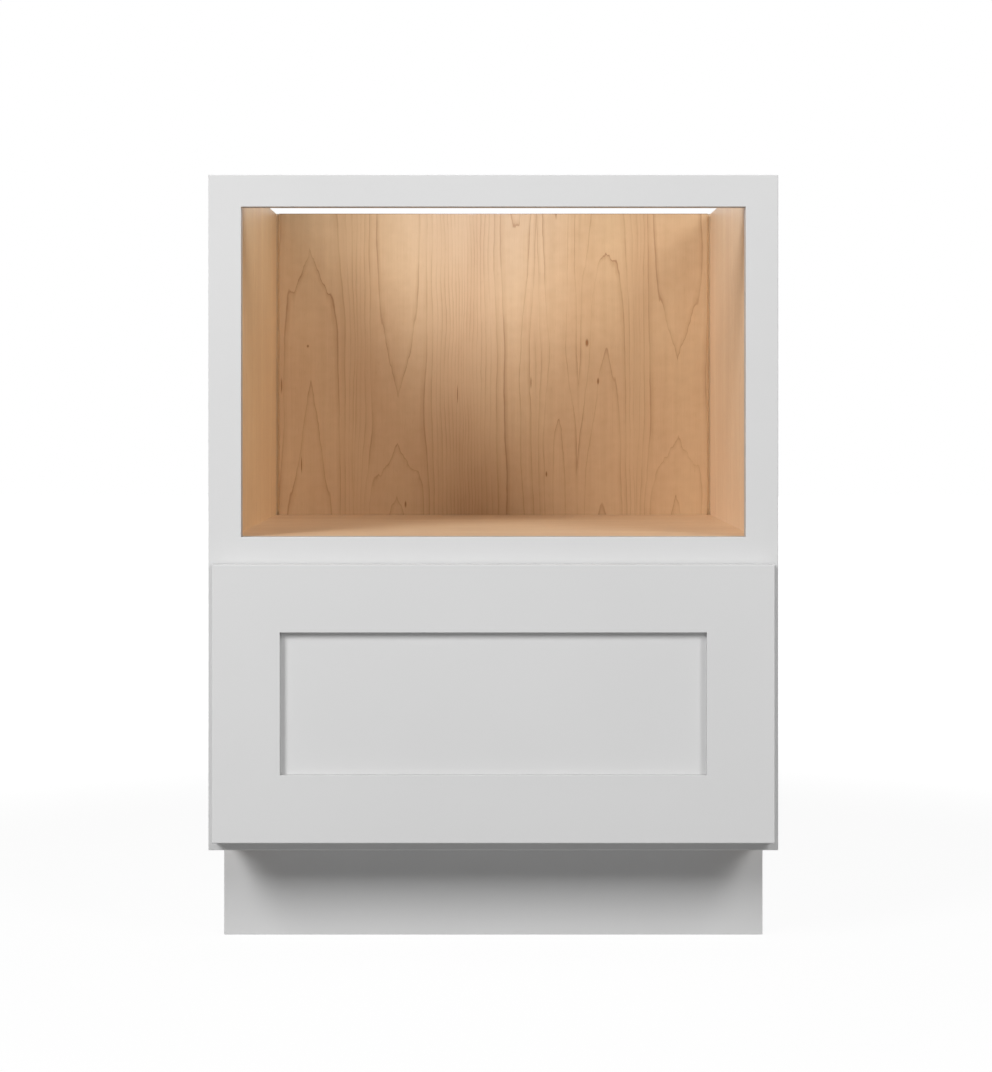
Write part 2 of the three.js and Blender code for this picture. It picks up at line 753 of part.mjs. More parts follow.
// An open-bottomed housing under the box's bottom panel, with the lever's pin in its roof.
function lockHousing(hand) {
  const middle = lockCentre(hand);
  const half = lockWidth / 2;
  const body = block([middle - half, middle + half], [lockFront, lockRear], [lockUnder, boxPanelUnder]);
  const pocketHalf = half - lockWall;
  const pocket = block(
    [middle - pocketHalf, middle + pocketHalf],
    [lockFront - beyond, lockRear - lockWall],
    [lockUnder - beyond, boxPanelUnder - lockRoof],
  );
  const pin = bar('z', lockPinRadius, [middle, leverPivotY], lockUnder, boxPanelUnder - lockRoof / 2);
  return join([cut(body, [pocket]), pin]);
}

// The lever: a bored hub, a straight arm and a round finger pad behind the drawer's front.
function releaseLever(hand) {
  const middle = lockCentre(hand);
  const padY = lockFront + leverPad / 2;
  const low = leverTop - leverThickness;
  const hub = bar('z', leverHub, [middle, leverPivotY], low, leverTop, 2 * roundSteps);
  const pad = bar('z', leverPad / 2, [middle, padY], low, leverTop, 2 * roundSteps);
  const armWidth = [middle - leverWidth / 2, middle + leverWidth / 2];
  const arm = block(armWidth, [padY, leverPivotY], [low, leverTop]);
  const bore = bar('z', lockPinRadius + fit, [middle, leverPivotY], low - beyond, leverTop + beyond);
  return cut(join([hub, pad, arm]), [bore]);
}

hands.forEach(([name, hand]) => {
  place(`${name}_locking_device`, lockHousing(hand), greyPlastic);
  place(`${name}_release_lever`, releaseLever(hand), leverPlastic);
});

// ---- Bumpers and screws -------------------------------------------------------------

// A domed pad on the drawer front's back; it meets the face frame when the drawer shuts.
function bumper(hand, height) {
  const profile = [
    [0, 0], [bumperRadius, 0], [bumperRadius, bumperHeight - bumperDome],
    [bumperCrown, bumperHeight], [0, bumperHeight],
  ];
  return lathed(profile, [hand * (frontHalf - bumperInset), frontBack, height]);
}

// A washer-headed screw from inside the box into the drawer front's stile.
function frontScrew(hand, height) {
  const length = boxThickness + screwBite;
  const top = length + screwHeadHeight;
  const profile = [
    [0, 0], [screwTipRadius, 0], [screwRadius, screwTipLength], [screwRadius, length],
    [screwHeadRadius, length], [screwHeadRadius, length + screwHeadRim],
    [screwHeadRadius / 2, top], [0, top],
  ];
  return lathed(profile, [hand * screwX, frontBack - screwBite, height]);
}

// A turned piece: the profile's radius and height, with its axis laid along +Y from a point.
function lathed(profile, start) {
  const points = profile.map(([radius, height]) => new THREE.Vector2(radius, height));
  const geometry = new THREE.LatheGeometry(points, roundSteps);
  geometry.translate(...start);
  return closed(geometry);
}

hands.forEach(([name, hand]) => {
  const levels = { lower: frontLow + bumperInset, upper: frontHigh - bumperInset };
  Object.entries(levels).forEach(([level, height]) => {
    place(`${level}_${name}_bumper`, bumper(hand, height), clearRubber);
  });
  screwHeights.forEach((height, index) => {
    place(`drawer_front_screw_${name}_${index + 1}`, frontScrew(hand, height), zincSteel);
  });
});

// ---- The finished group -------------------------------------------------------------

const whole = new THREE.Group();
cabinet.position.y = -(cabinetDepth + frontFace) / 2;
whole.add(cabinet);

export default whole;
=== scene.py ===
import json
import math

import bmesh
import bpy
import numpy as np
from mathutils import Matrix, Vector


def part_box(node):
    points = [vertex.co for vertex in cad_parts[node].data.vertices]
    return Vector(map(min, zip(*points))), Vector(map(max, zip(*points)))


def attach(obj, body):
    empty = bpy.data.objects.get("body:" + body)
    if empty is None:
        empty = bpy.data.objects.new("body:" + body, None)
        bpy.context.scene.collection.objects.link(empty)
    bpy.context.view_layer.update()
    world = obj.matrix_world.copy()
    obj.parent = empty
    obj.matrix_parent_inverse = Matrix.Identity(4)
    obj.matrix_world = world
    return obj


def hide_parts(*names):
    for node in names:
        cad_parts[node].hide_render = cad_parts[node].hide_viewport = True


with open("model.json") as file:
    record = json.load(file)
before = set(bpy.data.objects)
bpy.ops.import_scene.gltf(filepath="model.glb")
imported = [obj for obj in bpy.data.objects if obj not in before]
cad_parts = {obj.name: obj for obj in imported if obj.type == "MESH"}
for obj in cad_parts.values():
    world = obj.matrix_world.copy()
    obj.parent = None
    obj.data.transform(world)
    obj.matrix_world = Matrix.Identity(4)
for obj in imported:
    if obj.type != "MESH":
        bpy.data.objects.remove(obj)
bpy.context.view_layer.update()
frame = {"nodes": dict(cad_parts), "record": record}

scene = bpy.context.scene
nodes = frame["nodes"]
bodies = frame["record"]["behaviour"]["bodies"]
bodyOf = {node: body for body, members in bodies.items() for node in members}
slotOf = {part["node"]: part["material_slot"] for part in frame["record"]["subparts"]}
hands = {"left": -1, "right": 1}
skin = 0.0003  # a point this close to the plane of a face belongs to it


def linear(red, green, blue):
    # display colour 0..255 to linear light
    shares = [value / 255 for value in (red, green, blue)]
    return [s / 12.92 if s <= 0.04045 else ((s + 0.055) / 1.055) ** 2.4 for s in shares] + [1.0]


# camera: it stands square to the front, and the shift puts the horizon where the photograph has it
view = {
    "distance": 3.1592,  # in front of the cabinet's middle
    "height": 0.6167,
    "lens": 85.28,
    "shiftX": 0.0025,
    "shiftY": -0.1222,
}
cameraData = bpy.data.cameras.new("camera")
cameraData.lens = view["lens"]
cameraData.sensor_width = 36
cameraData.shift_x = view["shiftX"]
cameraData.shift_y = view["shiftY"]
camera = bpy.data.objects.new("camera", cameraData)
camera.location = (0, -view["distance"], view["height"])
camera.rotation_euler = (math.radians(90), 0, 0)
scene.collection.objects.link(camera)
scene.camera = camera
scene.view_settings.view_transform = "Standard"
print("camera set")


class Signal:
    # one shader output that ordinary arithmetic works on: each operation adds a Math node
    def __init__(self, finish, socket):
        self.finish = finish
        self.socket = socket

    def __add__(self, other):
        return self.finish.math("ADD", self, other)

    def __radd__(self, other):
        return self.finish.math("ADD", other, self)

    def __sub__(self, other):
        return self.finish.math("SUBTRACT", self, other)

    def __rsub__(self, other):
        return self.finish.math("SUBTRACT", other, self)

    def __mul__(self, other):
        return self.finish.math("MULTIPLY", self, other)

    def __rmul__(self, other):
        return self.finish.math("MULTIPLY", other, self)

    def __truediv__(self, other):
        return self.finish.math("DIVIDE", self, other)

    def __rtruediv__(self, other):
        return self.finish.math("DIVIDE", other, self)

    def __pow__(self, other):
        return self.finish.math("POWER", self, other)

    def __abs__(self):
        return self.finish.math("ABSOLUTE", self)

    def __gt__(self, other):
        return self.finish.math("GREATER_THAN", self, other)

    def __lt__(self, other):
        return self.finish.math("LESS_THAN", self, other)


class Finish:
    # a material in the making
    def __init__(self, name):
        self.material = bpy.data.materials.new(name)
        self.material.use_nodes = True
        self.tree = self.material.node_tree
        self.tree.nodes.clear()
        source = self.node("TexCoord")
        place = self.node("SeparateXYZ", inputs={0: self.signal(source, "Object")})
        self.x, self.y, self.z = (self.signal(place, i) for i in range(3))
        lie = self.node("SeparateXYZ", inputs={0: self.signal(source, "Normal")})
        self.facing = {axis: abs(self.signal(lie, i)) for i, axis in enumerate("xyz")}

    def node(self, kind, settings=None, inputs=None):
        made = self.tree.nodes.new("ShaderNode" + kind)
        for key, value in (settings or {}).items():
            if key == "curve":
                self.setCurve(made.mapping, value)
            else:
                setattr(made, key, value)
        for key, value in (inputs or {}).items():
            if isinstance(value, Signal):
                self.tree.links.new(value.socket, made.inputs[key])
            else:
                made.inputs[key].default_value = value
        return made

    def setCurve(self, mapping, points):
        curve = mapping.curves[0]
        while len(curve.points) < len(points):
            curve.points.new(0.5, 0.5)
        for spot, (x, y) in zip(curve.points, sorted(points)):
            spot.location = (x, y)
        mapping.update()

    def signal(self, made, output=0):
        return Signal(self, made.outputs[output])

    def math(self, operation, *values):
        return self.signal(self.node("Math", {"operation": operation}, dict(enumerate(values))))

    def smooth(self, value, low, high):
        # 0 below low, 1 above high, and an S between them
        inputs = {"Value": value, "From Min": low, "From Max": high}
        return self.signal(self.node("MapRange", {"interpolation_type": "SMOOTHSTEP"}, inputs))

    def noise(self, x, y, z=0.0, detail=2.0):
        # soft noise around 0, about -0.5 to 0.5
        place = self.signal(self.node("CombineXYZ", inputs={0: x, 1: y, 2: z}))
        inputs = {"Vector": place, "Scale": 1.0, "Detail": detail}
        return self.signal(self.node("TexNoise", inputs=inputs)) - 0.5

    def chance(self, number):
        # one random value from 0 to 1 for each whole number
        return self.signal(self.node("TexWhiteNoise", {"noise_dimensions": "1D"}, {"W": number}))

    def blend(self, amount, first, second, way="MIX"):
        settings = {"data_type": "RGBA", "blend_type": way, "clamp_factor": True}
        return self.signal(self.node("Mix", settings, {0: amount, 6: first, 7: second}), 2)

    def choose(self, amount, first, second):
        # a plain number between two others
        return first + (second - first) * amount

    def bump(self, height, distance):
        return self.signal(self.node("Bump", inputs={"Height": height, "Distance": distance}))

    def shade(self, colour, roughness, bump=None, metallic=0.0, coat=0.0, extras=None):
        inputs = {"Base Color": colour, "Roughness": roughness, "Metallic": metallic, "Coat Weight": coat}
        inputs.update(extras or {})
        if bump is not None:
            inputs["Normal"] = bump
        shader = self.signal(self.node("BsdfPrincipled", inputs=inputs))
        self.node("OutputMaterial", inputs={"Surface": shader})
        return self.material


paintLook = {
    "colour": (214, 214, 214),
    "cloud": 2,  # the tone wanders this far to either side, of 255
    "roughness": 0.42,
    "peelSize": 0.0016,  # one dimple of the sprayed film
    "peelDepth": 0.00001,
    "shadeColour": (96, 92, 88),  # mixed into the faces that paintFinish darkens, by these two shares
    "nicheShade": 0.25,
    "frontShade": 0.19,
}


def paintParts(finish):
    # satin sprayed paint: a faint cloudiness and the film's fine dimples
    cloud = finish.noise(finish.x * 5, finish.y * 5, finish.z * 5)
    steps = -paintLook["cloud"], paintLook["cloud"]
    deep, pale = (linear(*(value + step for value in paintLook["colour"])) for step in steps)
    colour = finish.blend(0.5 + cloud, deep, pale)
    size = 1 / paintLook["peelSize"]
    peel = finish.noise(finish.x * size, finish.y * size, finish.z * size, 1.0)
    roughness = paintLook["roughness"] + cloud * 0.08
    return colour, roughness, peel


def paintFinish():
    # the faces inside the niche's opening and round the drawer front's panel are darkened to match the
    # photograph's tone, which these lamps alone leave too bright; no second material is known there
    finish = Finish("paint")
    colour, roughness, peel = paintParts(finish)
    for prefix, under, shade in (("", "middle_rail", "nicheShade"),
                                 ("drawer_front_", "bottom_rail", "frontShade")):
        low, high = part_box(prefix + under)[1].z - skin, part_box(prefix + "top_rail")[0].z + skin
        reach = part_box(prefix + "right_stile")[0].x + skin
        within = (abs(finish.x) < reach) * (finish.z > low) * (finish.z < high)
        inner = within * (finish.facing["y"] < 0.5)
        colour = finish.blend(inner * paintLook[shade], colour, linear(*paintLook["shadeColour"]))
    return finish.shade(colour, roughness, finish.bump(peel, paintLook["peelDepth"]))


mapleLook = {
    "pale": (241, 211, 174),
    "deep": (166, 116, 70),
    "redder": (238, 196, 162),
    "line": (158, 98, 60),
    "coreSlope": 17.0,  # rings per metre in the calm middle of a leaf
    "flankSlope": 215.0,  # and in the close lines beside it
    "turn": 0.018,  # metres over which the one passes into the other
    "lineInside": 0.0013,  # a ring's dark line fades over this length inwards
    "lineOutside": 0.0006,
    "lateWood": 0.0060,  # and the browner wood behind it over this one
    "risePeak": 4.0,  # the highest ring number of a heart, since a curve node holds 0 to 1
    "drift": 0.022,  # how far the figure wanders sideways, from slow to fine
    "sway": 0.009,
    "zigzag": 0.0019,
    "lengthDrift": 0.04,  # and along the grain
    "tooth": 0.022,
}

backHearts = [
    # middle and half width of each cathedral, and its ring number along the niche's height (0 to 1);
    # each whole number that the curve passes is the tip of one pointed arch
    (-0.2500, 0.026, [(0, 1.55), (0.19, 1.7), (0.436, 2), (0.657, 2.45), (0.877, 3), (1, 3.3)]),
    (-0.1300, 0.024, [(0, 0.85), (0.057, 1), (0.155, 1.7), (0.253, 2), (0.326, 2.12), (0.4, 2),
                      (0.56, 1.72), (0.74, 1.55), (1, 1.45)]),
    (0.0350, 0.009, [(0, 2.5), (0.3, 2.6), (0.6, 2.4), (0.877, 2), (1, 1.75)]),
    (0.0900, 0.016, [(0, 1.45), (0.2, 1.5), (0.38, 1.75), (0.47, 2), (0.55, 2.12), (0.632, 2),
                     (0.75, 1.7), (1, 1.4)]),
    (0.1425, 0.019, [(0, 0.8), (0.167, 1), (0.4, 1.6), (0.645, 2), (0.914, 3), (1, 3.15)]),
    (0.2475, 0.025, [(0, 0.9), (0.05, 1), (0.14, 1.5), (0.253, 2), (0.375, 2.12), (0.485, 2),
                     (0.62, 1.75), (0.8, 1.5), (1, 1.35)]),
]


def spreadHearts(start, end, pitch, seed):
    # hearts for a panel that the photograph hardly shows: spaced about evenly, with random rise and fall
    dice = np.random.default_rng(seed)
    places = np.arange(start, end, pitch)
    places = places + dice.uniform(-0.2, 0.2, len(places)) * pitch
    levels = [0.0, 0.2, 0.42, 0.6, 0.8, 1.0]
    hearts = []
    for place in places:
        rise = np.clip(1.6 + np.cumsum(dice.uniform(-0.7, 0.7, 6)), 0.3, 3.6)
        hearts.append((float(place), float(dice.uniform(0.012, 0.026)), list(zip(levels, rise.tolist()))))
    return hearts


def mapleFigure(finish, across, along, hearts, span, seed=0.0):
    # ring number = the lowest of core slope * d + flank slope * (sqrt(e^2 + t^2) - t) over the hearts,
    # plus each heart's own rise along the grain; d is the distance to the heart, e its part beyond
    # the calm middle, t the turn from the calm to the close lines
    look = mapleLook
    drift = finish.noise(across * 4, along * 2.2, seed, 1.0)
    sway = finish.noise(across * 26, along * 8, seed + 3, 1.0)
    zigzag = finish.noise(across * 150, along * 42, seed + 5, 2.0)
    tooth = finish.noise(across * 120, along * 40, seed + 9, 2.0)
    side = across + drift * look["drift"] + sway * look["sway"] + zigzag * look["zigzag"]
    slow = finish.noise(across * 9, along * 5, seed + 15, 1.0)
    height = along + slow * look["lengthDrift"] + tooth * look["tooth"]
    share = (height - span[0]) / (span[1] - span[0])
    lowest, steepest = None, None
    swell = 0.0
    for centre, core, curve in hearts:
        off = abs(side - centre)
        beyond = finish.math("MAXIMUM", off - core, 0.0)
        root = finish.math("SQRT", beyond * beyond + look["turn"] ** 2)
        profile = off * look["coreSlope"] + (root - look["turn"]) * look["flankSlope"]
        steep = beyond / root
        lowest = profile if lowest is None else finish.math("MINIMUM", lowest, profile)
        steepest = steep if steepest is None else finish.math("MINIMUM", steepest, steep)
        points = [(level, rise / look["risePeak"]) for level, rise in curve]
        rise = finish.signal(finish.node("FloatCurve", {"curve": points}, {"Value": share}))
        swell = swell + (1 - finish.smooth(off, core * 0.8, core + 0.05)) * rise * look["risePeak"]
    number = lowest + swell
    slope = steepest * look["flankSlope"] + look["coreSlope"]
    part = finish.math("FRACT", number)
    strength = finish.chance(finish.math("FLOOR", number) + seed)
    inwards = (1 - part) / slope  # metres to the line, from its inner side
    outwards = part / slope
    line = finish.math("MAXIMUM", 1 - finish.smooth(inwards, 0.0, look["lineInside"]),
                       1 - finish.smooth(outwards, 0.0, look["lineOutside"]))
    late = 1 - finish.smooth(inwards, 0.0, look["lateWood"])
    calm = 1 - finish.smooth(slope, 60.0, 190.0)
    faded = finish.smooth(finish.noise(across * 20, along * 10, seed + 7, 2.0), -0.2, 0.14)
    weight = (0.3 + strength * 0.4 + calm * 0.42) * (0.25 + faded * 0.75)
    return line * weight, late * weight, calm


def mapleParts(finish, across, along, hearts, span, seed=0.0, knots=(), bold=1.0, tone=(1.0, 1.0, 1.0),
               ground=0.16):
    # colour, roughness and height of clear-coated maple; tone (partly painted light and shade) and ground
    # set the sheet's shade
    look = mapleLook
    line, late, calm = mapleFigure(finish, across, along, hearts, span, seed)
    cloud = finish.noise(across * 14, along * 4, seed + 11, 2.0)
    streak = finish.noise(across * 110, along * 1.6, seed + 12, 2.0)
    fibre = finish.noise(across * 900, along * 14, seed + 13, 2.0)
    dash = finish.smooth(finish.noise(across * 1300, along * 90, seed + 17, 0.0), 0.16, 0.3)
    mottle = finish.noise(across * 55, along * 70, seed + 19, 1.0)
    dark = line * (0.30 * bold) + late * (0.15 * bold) + streak * 0.20 + fibre * 0.16 + dash * 0.08
    dark = dark + cloud * 0.20 + mottle * (0.05 + calm * 0.13)
    for x, z, wide, tall in knots:
        far = finish.math("SQRT", ((across - x) / wide) ** 2.0 + ((along - z) / tall) ** 2.0)
        dark = dark + (1 - finish.smooth(far, 0.3, 1.0)) * 0.8
    dark = finish.math("MAXIMUM", dark + ground, 0.0)
    warm = finish.blend(0.5 + cloud * 1.6, linear(*look["pale"]), linear(*look["redder"]))
    base = finish.blend(0.35, linear(*look["pale"]), warm)
    colour = finish.blend(dark, base, linear(*look["deep"]))
    colour = finish.blend(line * 0.22 + late * calm * 0.12, colour, linear(*look["line"]))
    # the sheet's tone multiplies in here: partly the wood's own shade, partly painted light and shade
    colour = finish.blend(1.0, colour, (*tone, 1.0), "MULTIPLY")
    roughness = 0.40 + fibre * 0.10 + line * 0.05
    return colour, roughness, fibre + line * -0.6


def pliesParts(finish, depth, thickness, along, across, count):
    # the layers on a plywood edge: every second one shows end grain
    number = depth / thickness * count
    layer = finish.math("FLOOR", number)
    tint = finish.chance(layer + 4)
    odd = abs(finish.math("MODULO", layer, 2.0))
    inside = finish.math("FRACT", number)
    seam = 1 - finish.smooth(finish.math("MINIMUM", inside, 1 - inside), 0.0, 0.14)
    grain = finish.noise(along * 90, across * 900, depth * 900, 2.0)
    pore = finish.noise(along * 1400, across * 1400, depth * 1400, 1.0)
    dark = odd * 0.42 + tint * 0.18 + seam * 0.35 + grain * 0.35 + pore * odd * 0.6
    colour = finish.blend(dark, linear(222, 190, 148), linear(150, 108, 66))
    return colour, finish.choose(odd, 0.62, 0.8), pore


sheetTonesAndLight = {
    # each sheet's shade of the maple, fitted to the photograph's tones under these lamps, so partly the
    # wood's own tone and partly painted light and shade: the back darkened, the right side lightened and
    # cooled; the sides also have a paler ground and a fainter figure in sideFinish, so equal shades here
    # don't match them fully
    "left": (1.02, 1.01, 0.90),
    "right": (1.04, 1.08, 1.15),
    "back": (0.81, 0.775, 0.70),
}


def sideFinish():
    # side panels: paint outside, veneer inside, plies on the edges, told apart by |x|
    low, high = (abs(v) for v in (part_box("left_side_panel")[1].x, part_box("left_side_panel")[0].x))
    finish = Finish("sidePanel")
    off = abs(finish.x)
    hearts = spreadHearts(-0.30, 0.33, 0.13, 7)
    maple, mapleRough, mapleHeight = mapleParts(finish, finish.y, finish.z, hearts, (0.0, 0.9), 21.0,
                                                bold=0.5, ground=0.07)
    # each side's sheet tone, partly painted light and shade: the right side lighter and cooler than the left
    tone = finish.blend(finish.x > 0.0, (*sheetTonesAndLight["left"], 1), (*sheetTonesAndLight["right"], 1))
    maple = finish.blend(1.0, maple, tone, "MULTIPLY")
    plies, pliesRough, pliesHeight = pliesParts(finish, off - low, high - low, finish.z, finish.y, 11)
    paint, paintRough, peel = paintParts(finish)
    outside = off > high - skin
    inside = off < low + skin
    colour = finish.blend(inside, plies, maple)
    colour = finish.blend(outside, colour, paint)
    roughness = finish.choose(outside, finish.choose(inside, pliesRough, mapleRough), paintRough)
    height = finish.choose(inside, pliesHeight, mapleHeight * 0.3) * (1 - outside)
    return finish.shade(colour, roughness, finish.bump(height, 0.00004))


def panelFinish(name, node, faceAxis, hearts, span, grain, seed, knots=(), count=9, bold=1.0,
                tone=(1.0, 1.0, 1.0), paintedUnder=False, faceHalf=None):
    # veneered plywood: maple on both faces, plies on the edges; past the face's half width the tongues in
    # the shadow gaps are lightened, which is painted light, and a fine dark line along the top is a painted
    # shadow line, both to match the photograph's tone
    axis = "xyz".index(faceAxis)
    low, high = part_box(node)[0][axis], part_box(node)[1][axis]
    finish = Finish(name)
    places = {"x": finish.x, "y": finish.y, "z": finish.z}
    depth = places[faceAxis]
    across, along = (places[key] for key in grain)
    maple, mapleRough, mapleHeight = mapleParts(finish, across, along, hearts, span, seed, knots, bold, tone)
    plies, pliesRough, pliesHeight = pliesParts(finish, depth - low, high - low, along, across, count)
    edge = finish.facing[faceAxis] < 0.5
    colour = finish.blend(edge, maple, plies)
    roughness = finish.choose(edge, mapleRough, pliesRough)
    if paintedUnder:
        under = depth < low + skin
        colour = finish.blend(under, colour, linear(*paintLook["colour"]))
    if faceHalf:
        # painted light: the tongues' faces deep in the shadow gaps get a paler colour than their shade
        # allows
        paintedLightMask = abs(finish.x) > faceHalf
        tonguePaintedLight = finish.blend(0.5 + pliesHeight, (1, 0.86, 0.66, 1), (0.9, 0.72, 0.5, 1))
        colour = finish.blend(paintedLightMask, colour, tonguePaintedLight)
        # painted shadow: a fine dark line just under the back panel's top edge
        line = finish.smooth(finish.z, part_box(node)[1].z - 0.0016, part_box(node)[1].z - 0.0008)
        colour = finish.blend(line * 0.5, colour, linear(130, 92, 62))
    height = finish.choose(edge, mapleHeight * 0.3, pliesHeight)
    return finish.shade(colour, roughness, finish.bump(height, 0.00004))


def plywoodFinish(name, node, faceAxis, grain, seed, count=11):
    # utility plywood: a rotary-cut face without coating, plies on the edges
    axis = "xyz".index(faceAxis)
    low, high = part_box(node)[0][axis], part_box(node)[1][axis]
    finish = Finish(name)
    places = {"x": finish.x, "y": finish.y, "z": finish.z}
    depth = places[faceAxis]
    across, along = (places[key] for key in grain)
    warp = finish.noise(across * 9, along * 2.5, seed, 2.0)
    rings = finish.math("FRACT", warp * 9)
    band = finish.smooth(rings, 0.1, 0.95) * (1 - finish.smooth(rings, 0.95, 1.0))
    fibre = finish.noise(across * 700, along * 12, seed + 3, 3.0)
    face = finish.blend(band * 0.35 + fibre * 0.45 + 0.2, linear(226, 196, 156), linear(168, 124, 80))
    plies, pliesRough, pliesHeight = pliesParts(finish, depth - low, high - low, along, across, count)
    edge = (depth > low + skin) * (depth < high - skin)
    colour = finish.blend(edge, face, plies)
    height = finish.choose(edge, fibre, pliesHeight)
    return finish.shade(colour, finish.choose(edge, 0.66, pliesRough), finish.bump(height, 0.00007))


boardLook = {
    "pale": (236, 208, 168),
    "deep": (182, 134, 88),
    "stave": 0.052,  # width of one glued-up strip
}


def boardFinish(name, grain, ends, seed):
    # solid maple in glued-up staves: grain gives the across, along and depth axes, and beyond `ends`
    # on the along axis the board shows end grain
    finish = Finish(name)
    places = {"x": finish.x, "y": finish.y, "z": finish.z}
    across, along, depth = (places[key] for key in grain)
    number = across / boardLook["stave"] + finish.noise(along * 0.4, seed) * 0.02
    stave = finish.math("FLOOR", number)
    tint = finish.chance(stave + seed)
    spread = finish.choose(tint, 0.5, 2.5)
    wave = finish.noise(across * 26, along * 1.8, tint * 40, 1.0)
    rings = finish.math("FRACT", wave * 5 * spread)
    line = finish.smooth(rings, 0.45, 0.96) * (1 - finish.smooth(rings, 0.96, 1.0))
    fibre = finish.noise(across * 800, along * 14, depth * 800, 2.0)
    dash = finish.smooth(finish.noise(across * 1300, along * 90, depth * 1300, 0.0), 0.17, 0.3)
    inside = finish.math("FRACT", number)
    glue = 1 - finish.smooth(finish.math("MINIMUM", inside, 1 - inside), 0.0, 0.006)
    dark = line * 0.25 + fibre * 0.18 + dash * 0.12 + tint * 0.28 + glue * 0.2 + 0.06
    colour = finish.blend(dark, linear(*boardLook["pale"]), linear(*boardLook["deep"]))
    arc = finish.math("SQRT", (depth - 0.05) ** 2.0 + (across + tint * 0.08) ** 2.0) * 420
    arcs = finish.smooth(finish.math("FRACT", arc), 0.3, 1.0)
    pore = finish.noise(across * 1500, along * 40, depth * 1500, 1.0)
    endColour = finish.blend(arcs * 0.4 + pore * 0.5 + 0.25, linear(206, 166, 118), linear(140, 96, 56))
    end = finish.smooth(abs(along - ends[0]), ends[1] - 0.0002, ends[1] - 0.0001)
    colour = finish.blend(end, colour, endColour)
    return finish.shade(colour, finish.choose(end, 0.38, 0.55) + fibre * 0.08, finish.bump(fibre, 0.00003))


steelLook = {"colour": (198, 201, 206), "dull": (160, 164, 170), "roughness": 0.34}


def steelFinish():
    # bright zinc plating on rolled strip: drawn lines along y and soft blotches of the passivation
    finish = Finish("zincSteel")
    drawn = finish.noise(finish.x * 2500, finish.y * 12, finish.z * 2500, 1.0)
    patch = finish.noise(finish.x * 30, finish.y * 12, finish.z * 30, 2.0)
    blue = finish.smooth(finish.noise(finish.x * 16, finish.y * 5, finish.z * 16, 1.0), 0.0, 0.4)
    pair = linear(*steelLook["colour"]), linear(*steelLook["dull"])
    colour = finish.blend(0.35 + patch + drawn * 0.3, *pair)
    colour = finish.blend(blue * 0.15, colour, linear(170, 184, 204))
    roughness = steelLook["roughness"] + patch * 0.2 + drawn * 0.12
    return finish.shade(colour, roughness, finish.bump(drawn, 0.000012), metallic=0.92)


def plasticFinish(name, pale, deep, roughness):
    # moulded plastic with a fine spark-eroded texture
    finish = Finish(name)
    grain = finish.noise(finish.x * 1600, finish.y * 1600, finish.z * 1600, 2.0)
    flow = finish.noise(finish.x * 25, finish.y * 25, finish.z * 25, 1.0)
    colour = finish.blend(0.5 + flow * 0.8 + grain * 0.3, linear(*pale), linear(*deep))
    return finish.shade(colour, roughness + grain * 0.12, finish.bump(grain, 0.00003))


def rubberFinish():
    # clear soft polyurethane that lets the paint shine through
    finish = Finish("clearRubber")
    haze = finish.noise(finish.x * 700, finish.y * 700, finish.z * 700, 1.0)
    colour = finish.blend(0.5 + haze, linear(222, 224, 226), linear(198, 202, 206))
    return finish.shade(colour, 0.22 + haze * 0.1, extras={"Transmission Weight": 0.35})


backKnots = [
    # x, z, half width, half length
    (-0.2515, 0.6965, 0.0022, 0.0026),
    (-0.0485, 0.6310, 0.0008, 0.0170),
    (0.0510, 0.6470, 0.0010, 0.0110),
    (0.1270, 0.7010, 0.0030, 0.0070),
    (0.1420, 0.6490, 0.0020, 0.0060),
    (-0.2870, 0.6430, 0.0012, 0.0140),
    (0.0720, 0.5230, 0.0016, 0.0050),
    (-0.1190, 0.4820, 0.0018, 0.0060),
    (-0.2600, 0.5350, 0.0010, 0.0150),
]
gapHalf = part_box("right_side_panel")[0].x - 0.004  # half width of the back panel's face
nicheSpan = (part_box("middle_rail")[1].z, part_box("back_panel")[1].z)
paint = paintFinish()
sidePanelFinish = sideFinish()
finishes = {
    "back_panel": panelFinish("backPanel", "back_panel", "y", backHearts, nicheSpan, "xz", 0.0, backKnots,
                              tone=sheetTonesAndLight["back"], faceHalf=gapHalf - 0.0001),
    "microwave_shelf": panelFinish("shelf", "microwave_shelf", "z", spreadHearts(-0.31, 0.34, 0.14, 3),
                                   (-0.32, 0.32), "yx", 51.0, bold=0.6),
    "bottom_panel": panelFinish("deck", "bottom_panel", "z", spreadHearts(-0.31, 0.34, 0.14, 5),
                                (-0.32, 0.32), "yx", 71.0, bold=0.6, paintedUnder=True),
    "toe_kick_rail": plywoodFinish("toeRail", "toe_kick_rail", "y", "zx", 5.0, 7),
    "left_side_panel": sidePanelFinish,
    "right_side_panel": sidePanelFinish,
}
hangFinish = plywoodFinish("hangRail", "top_hang_rail", "y", "zx", 9.0)
blockFinish = plywoodFinish("cornerBlock", "left_corner_block", "z", "yx", 15.0, 9)
sideLow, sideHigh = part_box("drawer_box_left_side")
sideMiddle, sideHalf = (sideLow.y + sideHigh.y) / 2, (sideHigh.y - sideLow.y) / 2
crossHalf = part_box("drawer_box_front")[1].x
crossFinish = boardFinish("boxCrossBoard", "zxy", (0.0, crossHalf), 3.0)
lengthFinish = boardFinish("boxSideBoard", "zyx", (sideMiddle, sideHalf), 29.0)
bottomFinish = panelFinish("boxBottom", "drawer_box_bottom", "z", spreadHearts(-0.3, 0.3, 0.15, 9),
                           (-0.3, 0.3), "xy", 91.0, count=5, bold=0.7)
steel = steelFinish()
greyPlastic = plasticFinish("greyPlastic", (150, 153, 157), (128, 131, 136), 0.48)
leverPlastic = plasticFinish("leverPlastic", (214, 118, 52), (190, 98, 40), 0.42)
rubber = rubberFinish()
